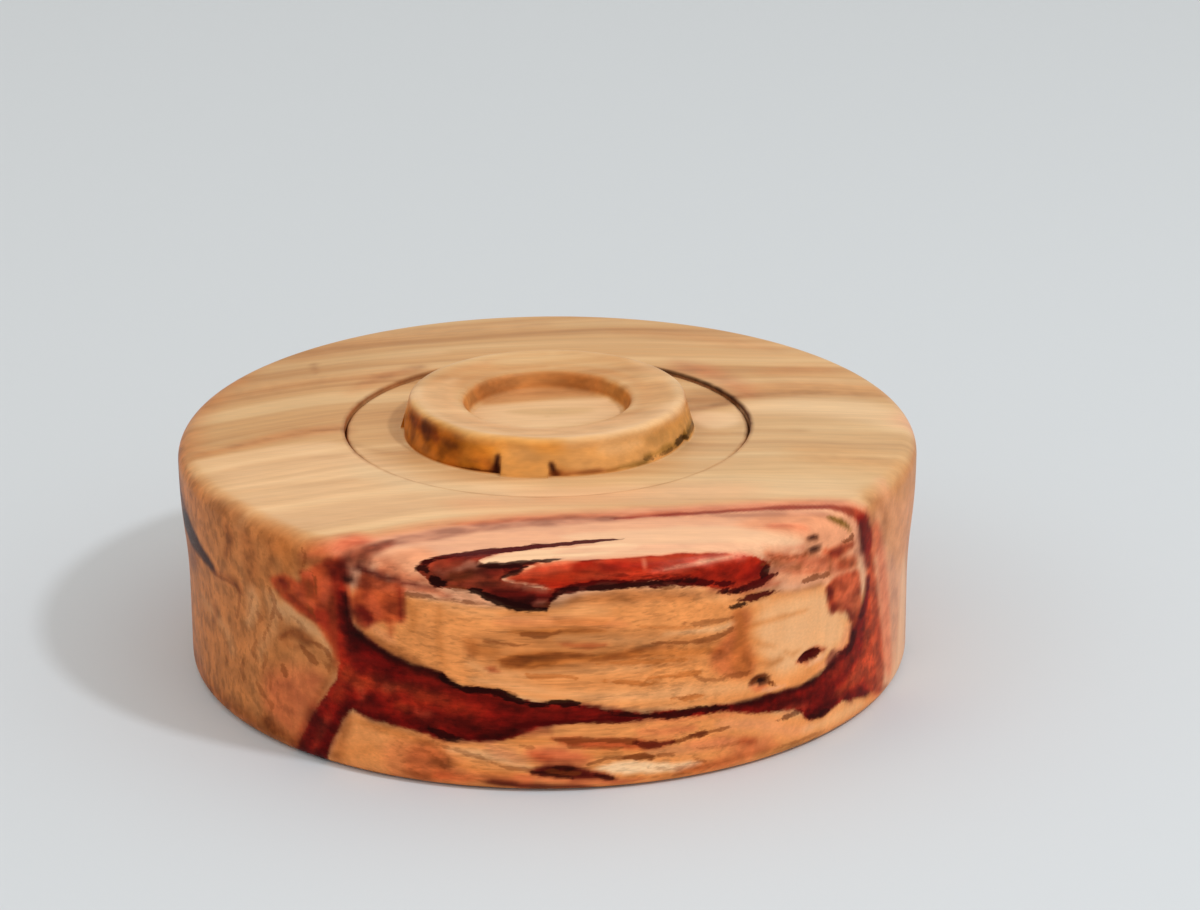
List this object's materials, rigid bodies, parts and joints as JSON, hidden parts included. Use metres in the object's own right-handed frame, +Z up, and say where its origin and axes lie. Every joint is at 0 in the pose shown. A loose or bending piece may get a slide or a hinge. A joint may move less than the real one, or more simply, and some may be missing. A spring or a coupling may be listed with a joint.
{
  "type": "lidded wooden box",
  "caption": "Squat round turned wooden box with a wide deck round its mouth and a loose inset lid that lifts off by a low ring knob with a dished top.",
  "frame": {"origin": "middle of the underside, in the plane of the foot ring", "axes": "+Z up along the turning axis, through the lid's knob; -Y faces the side with the flame figure; +X to the right as seen from that side"},
  "size_m": [0.1252, 0.1252, 0.0459],
  "materials": {
    "body_wood": "pale tan side grain with a deep red flame figure, lacquered to a satin gloss",
    "lid_wood": "pale tan figured wood, lacquered to a satin gloss, darker round the foot of the knob"
  },
  "bodies": {
    "box": {"box_body": "body_wood"},
    "lid": {"lid": "lid_wood"}
  },
  "joints": [
    {"name": "lid_lift", "type": "slide", "parent": "box", "child": "lid", "axis": [0, 0, 1], "range_m": [0, 0.06]}
  ]
}
